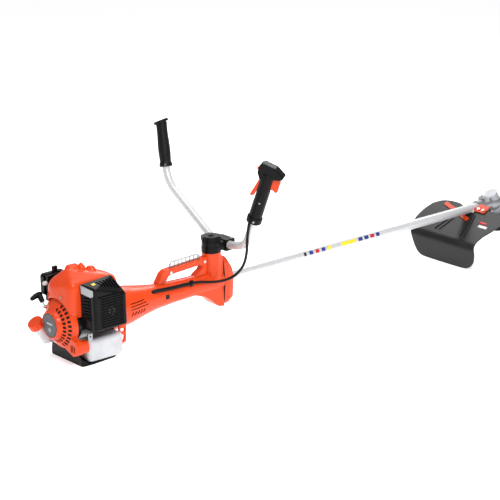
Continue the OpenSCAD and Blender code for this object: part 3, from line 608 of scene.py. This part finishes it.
def decal(name, target, grid, direction, mat):
    """A thin label on a fixed piece: rows of points in machine mm, dropped along a direction onto it."""
    bm = bmesh.new()
    rows = []
    inv = target.matrix_world.inverted()
    d = aim(*direction)
    for row in grid:
        out = []
        for p in row:
            ok, hit, nor, _ = target.ray_cast(inv @ place(*p), d)
            out.append(bm.verts.new(hit + nor * LABEL_LIFT / 1000 if ok else place(*p)))
        rows.append(out)
    for i in range(len(rows) - 1):
        for k in range(len(rows[0]) - 1):
            bm.faces.new((rows[i][k], rows[i][k + 1], rows[i + 1][k + 1], rows[i + 1][k]))
    ob = link(name, mesh_of(bm, name), mat)
    s = ob.modifiers.new("t", "SOLIDIFY")
    s.thickness = LABEL_THICK / 1000
    s.offset = 0
    bake(ob)
    ob.data.shade_smooth()
    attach(ob, "machine")


ABOVE_GUARD = 160
decal("label_guard", guard, sheet_grid(84, 95, -88, -78, ABOVE_GUARD, 6, 6), (0, 0, -1), YELLOW)

# ---- starter: dark screen behind the windows as painted shade, badge ring and mark, rope, eyelet, handle ---
TURN_X = Matrix.Rotation(math.pi / 2, 4, "Y")
# A dark cone behind the windows: painted shade inside the starter housing.
screen = lathe("starter_painted_shade_screen", [(13, 37.5), (29.6, 61.2), (34, 65.5), (34.8, 65), (30.4, 60.6),
                                  (13.6, 36.8)], TURN_X)
finish(paint(screen, SHADE_SEAM_AND_PRINT_DARK), slot="black_plastic")
shell = copy_of("starter_housing")
# Two rows of windows, each with its radius, the count of its last window and its step in degrees.
WINDOW_FROM = 150
HALF_HIGH = 4.4
HALF_WIDE = 3.4
windows = []
for radius, last, step in ((46, 9, 14), (58, 8, 12)):
    for i in range(-3, last + 1):
        window = box("window", (2, 38), (radius - HALF_HIGH, radius + HALF_HIGH), (-HALF_WIDE, HALF_WIDE))
        window.data.transform(Matrix.Rotation(math.radians(WINDOW_FROM + i * step), 4, "X"))
        windows.append(window)
cut(shell, join("windows", *windows))
# Three short slots in the lower lobe.
for y in (-60, -67, -74):
    cut(shell, box("slot", (18, 32), (y - 1.9, y + 1.9), (-66 - 0.25 * (y + 60), -46 + 0.3 * (y + 60))))
melt(shell, 1.1, 5)
finish(paint(shell, MAT["orange_plastic"]), "machine", "starter_housing", angle=40)
ring = lathe("badge_ring", [(-0.1, 33.3), (-0.1, 31.6), (0.6, 31.6), (0.6, 33.3)], TURN_X, 96)
finish(paint(ring, MAT["black_plastic"]), slot="black_plastic")
# A plain bar over a plain cross, standing out a little from the badge.
MARK_OUT = (-0.45, 0.3)
marks = [box("mark", MARK_OUT, (-13, 13), (2, 7)), box("mark", MARK_OUT, (-6, 6), (-15, -10)),
         box("mark", MARK_OUT, (-2.2, 2.2), (-18.5, -6.5))]
finish(paint(join("badge_mark", *[round_edges(m, 0.3) for m in marks]), SILVER), slot="steel")

# ROPE_M has its Z along the rope. The rope's three strands show as a twist in its surface.
ROPE_M = Matrix.Translation((30, 58, 25)) @ Matrix.Rotation(math.radians(-45), 4, "X")
ROPE_START = -58
ROPE_LENGTH = 91
ROPE_STEPS = 120
ROPE_RADIUS = 1.8
STRANDS = 3
STRAND_DEEP = 0.14
TWIST = 150
rope_pts = [ROPE_M @ Vector((0, 0, ROPE_START + ROPE_LENGTH * i / ROPE_STEPS))
            for i in range(ROPE_STEPS + 1)]
rope = sweep("pull_rope", rope_pts,
             lambda t, a: ROPE_RADIUS + STRAND_DEEP * math.sin(STRANDS * a + t * TWIST), 18)
rope.data.transform(LAY)
rope.data.shade_smooth()
paint(rope, MAT["rope"])
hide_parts("starter_rope")
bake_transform(rope)
eyelet = lathe("rope_eyelet", [(4.5, 2.6), (4.5, 6), (9, 6.5), (10.5, 5), (10.5, 2.6)], ROPE_M, 32)
finish(paint(eyelet, MAT["primer"]), slot="primer")
grip = pebble("pull_grip", [(-25, 0, 39, 6), (-12, 0, 44.5, 6.6), (0, 0, 46, 7.6), (4, 0, 46, 6.5)], n=14)
stem = lathe("stem", [(22, 5.5), (24, 7.2), (40, 8), (46, 7)], Matrix.Identity(4), 40, closed=False)
combine("UNION", grip, stem)
cut(grip, rod("rope_hole", (0, 0, 18), (0, 0, 34), 2.1))
grip.data.transform(ROPE_M)
finish(paint(grip, MAT["black_rubber"]), "pull_handle", "starter_handle", angle=50)

# ---- fuel tank: body, side lobe and neck --------------------------------------------------------
TANK = [(x, y, z, 14) for x in (82, 169) for y in (-66, 66) for z in (-91, -54)]
NECK = Matrix.Translation((34, 64, -64)) @ Matrix.Rotation(math.radians(-34), 4, "Y")
tank = pebble("tank_shell", TANK, n=18)
cut(tank, rod("crankcase_room", (40, 0, 0), (200, 0, 0), 61.5, 96))
lobe = pebble("lobe", [(x, y, z, 10) for x in (30, 82) for y in (57, 70) for z in (-61.5, -52)], n=12)
cut(lobe, rod("crankcase_room", (47, 0, 0), (120, 0, 0), 58, 96))
neck = lathe("neck", [(0, 16), (50, 16), (50, 17.2), (53, 17.2), (53, 15.8), (66, 15.8)], NECK, 64,
             closed=False)
combine("UNION", tank, lobe, neck)
cut(tank, rod("mouth", tuple(NECK @ Vector((0, 0, 2))), tuple(NECK @ Vector((0, 0, 70))), 13))
paint(tank, MAT["tank"])
finish(tank, "machine", "fuel_tank", angle=40)

# ---- boom labels: plain coloured blocks -----------------------------------------------------------
BAND_FROM = 0.75
BAND_TO = 1.55
BAND_RADIUS = 14.06
BAND_THICK = 0.12


def band(name, x0, x1, mat, n=24):
    """Label wrapped on the boom between two angles, measured from up towards the operator's right."""
    angles = [BAND_FROM + (BAND_TO - BAND_FROM) * k / n for k in range(n + 1)]
    bm = bmesh.new()
    rows = []
    for x in (x0, x1):
        for r in (BAND_RADIUS, BAND_RADIUS + BAND_THICK):
            rows.append([bm.verts.new((x, -r * math.sin(angle), r * math.cos(angle))) for angle in angles])
    a, b, c, d = rows
    for p, q in ((a, b), (b, d), (d, c), (c, a)):
        for k in range(n):
            bm.faces.new((p[k], p[k + 1], q[k + 1], q[k]))
    for k in (0, n):
        bm.faces.new((a[k], b[k], d[k], c[k]))
    finish(link(name, mesh_of(bm, name), mat), slot="tube")


# ---- throttle cable, from the grip down to the boom, and its sleeve on the housing --------------------
ROUTE = [(578.8, -135.6, 192.3), (576, -132, 162), (576, -129, 135), (579, -122, 105), (581, -110, 74),
         (581, -92, 48), (572, -76, 28), (557, -60, 16), (536, -46, 11), (510, -37, 13), (482, -31, 18),
         (455, -28, 20), (425, -28, 21), (395, -29, 22), (365, -30, 24), (335, -32, 27)]
CABLE_RADIUS = 3.9
cable = sweep("throttle_cable_outer", curve_points(ROUTE, 14), CABLE_RADIUS, 20)
cable.data.transform(LAY)
cable.data.shade_smooth()
paint(cable, MAT["black_rubber"])
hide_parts("throttle_cable")
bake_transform(cable)
SLEEVE = [(450, -28, 20.2), (425, -28, 21), (395, -29, 22), (365, -30, 24), (335, -32, 27),
          (325, -31, 26.5), (313, -24, 20)]
SLEEVE_RADIUS = 5.2
sleeve = sweep("cable_sleeve", curve_points(SLEEVE, 8), SLEEVE_RADIUS, 24)
finish(paint(sleeve, MAT["black_rubber"]), slot="black_rubber", angle=60)

# ---- handlebar and left grip ---------------------------------------------------------------------
def bend(a, b, c, n=12):
    """Points of a bend from a to c, round the corner b."""
    a, b, c = Vector(a), Vector(b), Vector(c)
    return [a.lerp(b, i / n).lerp(b.lerp(c, i / n), i / n) for i in range(n + 1)]


def towards(a, b, d):
    """The point d mm from a on the way to b."""
    a, b = Vector(a), Vector(b)
    return a + (b - a).normalized() * d


# The bar's corners, from the top of the left grip to the foot of the throttle grip.
LEFT_TOP = Vector((592, 268, 392))
LEFT_BEND = Vector((572, 222, 241))
BAR_LEFT = Vector((593, 44, 103))
RIGHT_BEND = Vector((588, -106, 114))
RIGHT_GRIP = Vector((595.7, -137, 197))
path = [LEFT_TOP] + bend(towards(LEFT_BEND, LEFT_TOP, 40), LEFT_BEND, towards(LEFT_BEND, BAR_LEFT, 40))
path += bend(towards(BAR_LEFT, LEFT_BEND, 11), BAR_LEFT, BAR_LEFT - Vector((0, 11, 0)))
path += bend(Vector((593, -33, 103)), Vector((593, -38, 103)), Vector((592.6, -43, 103.9)), 6)
path += bend(RIGHT_BEND + Vector((1, 34, -3)), RIGHT_BEND, towards(RIGHT_BEND, RIGHT_GRIP, 34))
path += [RIGHT_GRIP * 2 - RIGHT_BEND]
BAR_RADIUS = 11.5
bar = sweep("handlebar_tube", path, BAR_RADIUS, 40)
finish(paint(bar, MAT["tube"]), "steering", "handlebar", angle=50)

# LEAN has its Z up the left grip.
LEAN = (Matrix.Translation((577.6, 234.8, 283)) @ Matrix.Rotation(math.radians(7.54), 4, "Y")
        @ Matrix.Rotation(math.radians(-16.8), 4, "X"))
# The sleeve's radius swells in slow waves for the fingers, with fine ridges on top.
RIDGES = 96
RIDGE_STEP = 1.2
RIDGE_DEEP = 0.35
profile = [(-1, 12), (-1, 17.5), (0.5, 18.6), (8.5, 18.6), (10, 17.4)]
for i in range(RIDGES):
    h = 12 + i * RIDGE_STEP
    profile.append((h, 16.4 + math.sin((h - 20) / 17.5) + (RIDGE_DEEP if i % 4 < 2 else 0)))
profile += [(128, 15.5), (129, 12), (100, 12)]
left = lathe("left_grip_sleeve", profile, LEAN, 56)
# The flange at the grip's top: a slightly oval disc, tipped.
FLANGE_RADIUS = 20.5
FLANGE_OVAL = 0.92
flange = pebble("flange", [(FLANGE_RADIUS * math.cos(a), FLANGE_RADIUS * math.sin(a) * FLANGE_OVAL, z, 1.8)
                           for a in [math.pi * k / 12 for k in range(24)] for z in (0, 4.5)], n=6)
flange.data.transform(LEAN @ Matrix.Translation((0, 0, 127.5)) @ Matrix.Rotation(math.radians(-14), 4, "Y")
                      @ Matrix.Rotation(math.radians(-7), 4, "X"))
left = join("left_grip_sleeve", left, flange)
finish(paint(left, MAT["black_rubber"]), "steering", "left_grip", angle=50)

# ---- shield: one moulded sheet, bent from the plate into the skirt --------------------------------
# The flat outline: mm down the sheet from the boom's axis, and mm across it.
OUT = [(222.4, -95), (222.4, 92), (211.8, 113), (194.8, 127), (169.8, 139), (152, 147), (136, 156),
       (118, 164), (90, 170), (55, 168), (22, 157), (2, 132), (-6, 100), (-6, 58), (4, 32), (10, 17),
       (34, 15), (36, 0), (34, -15), (10, -17), (0, -34), (-6, -70), (-4, -120), (14, -148), (40, -152),
       (70, -140), (100, -126), (128, -123), (148, -127), (169.8, -133), (194.8, -131), (211.8, -118)]


def rounded(pts, n=5, k=0.3):
    """Closed outline with each corner cut back by a share k of its sides and rounded in n steps."""
    out = []
    for i, p in enumerate(pts):
        a, b, c = Vector(pts[i - 1]), Vector(p), Vector(pts[(i + 1) % len(pts)])
        s, e = b.lerp(a, k), b.lerp(c, k)
        out += [tuple(s.lerp(b, j / n).lerp(b.lerp(e, j / n), j / n)) for j in range(n + 1)]
    return out


def flat_sheet(name, x, y, thick, nx, ny):
    """Flat slab divided finely enough to be bent, from zero up to its thickness."""
    bm = bmesh.new()
    grid = {}
    for w in (0, thick):
        for i in range(nx + 1):
            for k in range(ny + 1):
                grid[w, i, k] = bm.verts.new((x[0] + (x[1] - x[0]) * i / nx,
                                              y[0] + (y[1] - y[0]) * k / ny, w))

    def face(*keys):
        bm.faces.new([grid[key] for key in keys])

    for i in range(nx):
        for k in range(ny):
            face((0, i, k), (0, i + 1, k), (0, i + 1, k + 1), (0, i, k + 1))
            face((thick, i, k), (thick, i, k + 1), (thick, i + 1, k + 1), (thick, i + 1, k))
    for i in range(nx):
        for k in (0, ny):
            face((0, i, k), (thick, i, k), (thick, i + 1, k), (0, i + 1, k))
    for k in range(ny):
        for i in (0, nx):
            face((0, i, k), (0, i, k + 1), (thick, i, k + 1), (thick, i, k))
    return link(name, mesh_of(bm, name))


SHEET_THICK = 3
shield = flat_sheet("shield_sheet", (-12, 228), (-165, 180), SHEET_THICK, 60, 84)
combine("INTERSECT", shield, prism("outline", rounded(OUT), -5, 8, "z"))
FOLD_AT = 132.7
FOLD_RADIUS = 30.0
FOLD_TURN = math.radians(60)
# OUT_M has its X down the sheet, its Y across it and its Z into its hollow side.
OUT_M = Matrix.Translation((1600, 0, 0)) @ Matrix.Rotation(math.radians(150), 4, "Y")
DOWN = OUT_M.to_3x3() @ Vector((1, 0, 0))
INWARD = OUT_M.to_3x3() @ Vector((0, 0, 1))


def fold(co):
    """A point of the flat sheet, where the bent sheet has it in the machine frame."""
    s, v, w = co
    if s <= FOLD_AT:
        return OUT_M @ Vector((s, v, w))
    a = min((s - FOLD_AT) / FOLD_RADIUS, FOLD_TURN)
    at = OUT_M @ Vector((FOLD_AT, v, 0))
    t = DOWN * math.cos(a) + INWARD * math.sin(a)
    normal = INWARD * math.cos(a) - DOWN * math.sin(a)
    p = at + INWARD * FOLD_RADIUS + (-INWARD * math.cos(a) + DOWN * math.sin(a)) * FOLD_RADIUS
    p = p + normal * w
    return p + t * max(0.0, s - FOLD_AT - FOLD_RADIUS * FOLD_TURN)


for v in shield.data.vertices:
    v.co = fold(v.co)
shield.data.update()
paint(shield, MAT["shield_plastic"])
finish(shield, "machine", "shield", angle=40)
ribs = [rod("rib", tuple(OUT_M @ Vector((26, v, -0.5))), tuple(OUT_M @ Vector((118, v * 1.9, -0.5))), 2, 16)
        for v in (-24, -34, 24, 34)]
finish(paint(join("shield_ribs", *ribs), MAT["shield_plastic"]), slot="shield_plastic")
for name, edges, mat in (("label_shield", (58, 68, -78, -114), WHITE),
                         ("label_shield_b", (44, 52, -70, -102), RED)):
    outside = [[tuple(OUT_M @ Vector(p)) for p in row] for row in sheet_grid(*edges, -8, 2, 4)]
    decal(name, shield, outside, tuple(INWARD), mat)

# Each label's start along the boom, its width and its material.
BOOM_LABELS = [(884, 9, SHADE_SEAM_AND_PRINT_DARK), (905, 14, BLUE), (929, 14, RED), (953, 14, BLUE), (977, 14, YELLOW),
               (1030, 60, YELLOW), (1100, 16, BLUE), (1124, 16, BLUE), (1148, 16, RED), (1172, 14, BLUE)]
for i, (x, wide, mat) in enumerate(BOOM_LABELS):
    band("label_boom_%02d" % i, x, x + wide, mat)

strap_ends = ((68, 84, -22), (70, 82, -52))
strap = hull_points([(x, y, z) for x0, x1, z in strap_ends for x in (x0, x1) for y in (-77, -73)],
                    "tank_strap")
strap = round_edges(link("tank_strap", strap), 0.8)
cut(strap, rod("screw_hole", (76, -90, -30), (76, -60, -30), 2.6))
finish(paint(strap, SILVER), slot="steel")

# ---- painted-shade liner, dark seam, painted-shade pocket, and the moulded copies -----------------
# A dark liner inside the shaft housing: painted shade in its hollow.
liner = lathe("housing_painted_shade_liner", [(222, 52.5), (250, 48.6), (300, 38.4), (330, 33.5), (330, 32.5), (300, 37.4),
                                (250, 47.6), (222, 51.5)], TURN_X)
finish(paint(liner, SHADE_SEAM_AND_PRINT_DARK), slot="black_plastic")

SEAM_PROUD = 0.6
seam = copy_of("front_cap")
for v in seam.data.vertices:
    v.co += Vector((0, v.co.y, v.co.z)).normalized() * SEAM_PROUD
cut(seam, box("ahead", (576.2, 640), (-80, 80), (-120, 120)),
    box("behind", (560, 574.5), (-80, 80), (-120, 120)))
finish(paint(seam, SHADE_SEAM_AND_PRINT_DARK), slot="black_plastic")
# A shallow dark block stands for the pocket in the shaft housing's side; its darkness is painted shade.
pocket = round_edges(box("housing_pocket_painted_shade", (361.3, 374.7), (-32.3, -24), (-4.7, 7.7)), 0.4)
finish(paint(pocket, SHADE_SEAM_AND_PRINT_DARK), slot="black_plastic")
# GRIP_FRAME has its Z up the throttle grip and its X towards the trigger.
GRIP_FRAME = (Matrix.Translation((595.7, -137, 197)) @ Matrix.Rotation(math.radians(5.3), 4, "Y")
              @ Matrix.Rotation(math.radians(20.41), 4, "X") @ Matrix.Rotation(math.radians(-55), 4, "Z"))
# The trigger's slot is cut again in the throttle grip, because the melting narrows it.
for node, times in (("carry_handle", 8), ("front_cap", 20), ("throttle_grip", 26)):
    soft = soften(node, times)
    if node == "throttle_grip":
        slot_cut = prism("trigger_slot", [(5.6, 97.6), (60, 97.6), (60, 146.6), (5.6, 150.6)], -6.0, 6.0)
        slot_cut.data.transform(LAY @ GRIP_FRAME)
        cut(soft, slot_cut)


# ---- fasteners -----------------------------------------------------------------------------------
def stud(name, at, out, r, body):
    """Socket-head screw with its head's seat at a point, facing out."""
    profile = [(-4, r), (0.9, r), (1.5, 0.8 * r), (1.5, 0.45 * r), (0.4, 0.4 * r), (0.4, 0.02), (-4, 0.02)]
    ob = lathe(name, profile, along(at, Vector(at) + Vector(out)), 28)
    finish(paint(ob, SILVER), body, slot="steel")


GRIP_AXIS = (RIGHT_GRIP - RIGHT_BEND).normalized()
# SIDE points out of the side of the throttle grip that its two screws are in.
SIDE = Vector((-0.738, -0.652, -0.175))
stud("grip_screw_low", RIGHT_GRIP + 4 * GRIP_AXIS + 21.6 * SIDE, SIDE, 3, "steering")
stud("grip_screw_high", RIGHT_GRIP + 64 * GRIP_AXIS + 18.4 * SIDE, SIDE, 2.6, "steering")
left_out = LEAN.to_3x3() @ Vector((-12, -13.4, 0))
stud("left_screw", LEAN @ Vector((-12, -13.4, 4)), left_out, 2.6, "steering")
for i, at in enumerate(((606, -22, 118), (606, 22, 118), (584, -23, 114.4))):
    stud("clamp_screw_%d" % (i + 1), at, (0, 0, 1), 3.2, "steering")
pad = round_edges(box("bracket_pad", (1569, 1597), (-15, 15), (-21, -14.3)), 1.5)
finish(paint(pad, MAT["black_rubber"]), slot="black_rubber")
